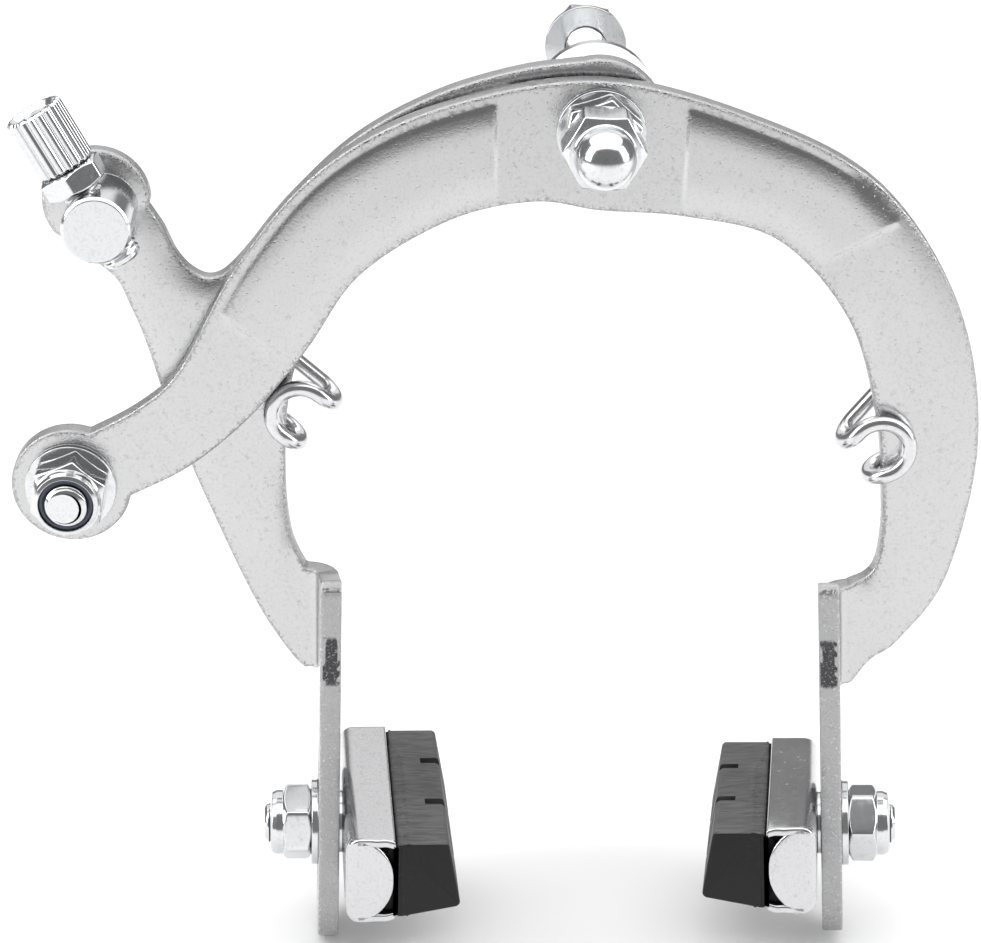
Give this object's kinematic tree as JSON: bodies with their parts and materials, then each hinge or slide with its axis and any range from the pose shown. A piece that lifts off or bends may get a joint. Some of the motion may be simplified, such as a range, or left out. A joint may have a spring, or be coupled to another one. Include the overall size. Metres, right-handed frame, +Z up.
{
  "type": "caliper brake",
  "caption": "Side-pull bicycle caliper brake in plated steel: crossed arms on a centre bolt, wire return spring, cable adjuster, cable anchor and rubber shoes.",
  "frame": {"origin": "axis of the centre bolt at the rear face of its boss", "axes": "+Y along the centre bolt to the bicycle, -Y to the front, +X to the right as seen from the front, +Z up"},
  "size_m": [0.1376, 0.0782, 0.1311],
  "materials": {
    "pressed_steel": "bright plated, faintly pitted pressed plate",
    "holder_steel": "bright plated folded sheet, softly polished",
    "turned_steel": "bright plated turned and cold-headed steel",
    "spring_wire": "bright plated drawn wire",
    "rubber": "moulded black rubber, dull",
    "nylon": "dark blue nylon"
  },
  "bodies": {
    "root_bolt": {"centre_bolt": "turned_steel", "rear_pivot_washer": "turned_steel", "middle_pivot_washer": "turned_steel", "front_pivot_washer": "turned_steel", "pivot_jam_nut": "turned_steel", "pivot_acorn_nut": "turned_steel", "mount_washer": "turned_steel", "mount_nut": "turned_steel", "mount_nut_insert": "nylon", "return_spring": "spring_wire"},
    "rear_arm": {"rear_arm": "pressed_steel"},
    "front_arm": {"front_arm": "pressed_steel"},
    "adjuster_swivel": {"adjuster_swivel": "turned_steel", "swivel_washer": "turned_steel", "swivel_nut": "turned_steel"},
    "adjuster_barrel": {"adjuster_barrel": "turned_steel"},
    "adjuster_locknut": {"adjuster_locknut": "turned_steel"},
    "cable_anchor": {"anchor_bolt": "turned_steel", "pinch_washer": "turned_steel", "anchor_washer": "turned_steel", "anchor_nut": "turned_steel", "anchor_nut_insert": "nylon"},
    "left_clamp": {"left_shoe_stud": "turned_steel", "left_shoe_washer": "turned_steel", "left_shoe_nut": "turned_steel", "left_nut_insert": "nylon"},
    "left_shoe": {"left_shoe_holder": "holder_steel", "left_brake_block": "rubber"},
    "right_clamp": {"right_shoe_stud": "turned_steel", "right_shoe_washer": "turned_steel", "right_shoe_nut": "turned_steel", "right_nut_insert": "nylon"},
    "right_shoe": {"right_shoe_holder": "holder_steel", "right_brake_block": "rubber"}
  },
  "joints": [
    {"name": "front_arm_pivot", "type": "hinge", "parent": "root_bolt", "child": "front_arm", "pos_m": [0, -0.017, 0], "axis": [0, 1, 0], "range_deg": [0, 6], "stiffness_Nm_per_rad": 8, "springref_deg": -1.15, "deforming": ["return_spring"]},
    {"name": "rear_arm_pivot", "type": "hinge", "parent": "root_bolt", "child": "rear_arm", "pos_m": [0, -0.013, 0], "axis": [0, 1, 0], "range_deg": [-6, 0], "stiffness_Nm_per_rad": 8, "springref_deg": 1.15, "deforming": ["return_spring"]},
    {"name": "adjuster_turn", "type": "hinge", "parent": "rear_arm", "child": "adjuster_swivel", "pos_m": [-0.06822, -0.013, -0.0114], "axis": [0, 1, 0], "range_deg": [-35, 45]},
    {"name": "barrel_screw", "type": "slide", "parent": "adjuster_swivel", "child": "adjuster_barrel", "axis": [-0.4695, 0, 0.8829], "range_m": [0, 0.005]},
    {"name": "locknut_spin", "type": "hinge", "parent": "adjuster_swivel", "child": "adjuster_locknut", "pos_m": [-0.07068, -0.0186, -0.00676], "axis": [-0.4695, 0, 0.8829], "continuous": true},
    {"name": "anchor_turn", "type": "hinge", "parent": "front_arm", "child": "cable_anchor", "pos_m": [-0.07457, -0.017, -0.0518], "axis": [0, 1, 0], "range_deg": [-60, 60]},
    {"name": "left_shoe_height", "type": "slide", "parent": "rear_arm", "child": "left_clamp", "axis": [0.0297, 0, 0.9996], "range_m": [-0.008, 0.009]},
    {"name": "left_shoe_tilt", "type": "hinge", "parent": "left_clamp", "child": "left_shoe", "pos_m": [-0.03753, -0.02345, -0.10325], "axis": [0.9982, 0.0523, -0.0296], "range_deg": [-15, 15]},
    {"name": "right_shoe_height", "type": "slide", "parent": "front_arm", "child": "right_clamp", "axis": [-0.0576, 0, 0.9983], "range_m": [-0.008, 0.009]},
    {"name": "right_shoe_tilt", "type": "hinge", "parent": "right_clamp", "child": "right_shoe", "pos_m": [0.03391, -0.02311, -0.10439], "axis": [-0.9909, 0.1219, -0.0571], "range_deg": [-15, 15]}
  ]
}
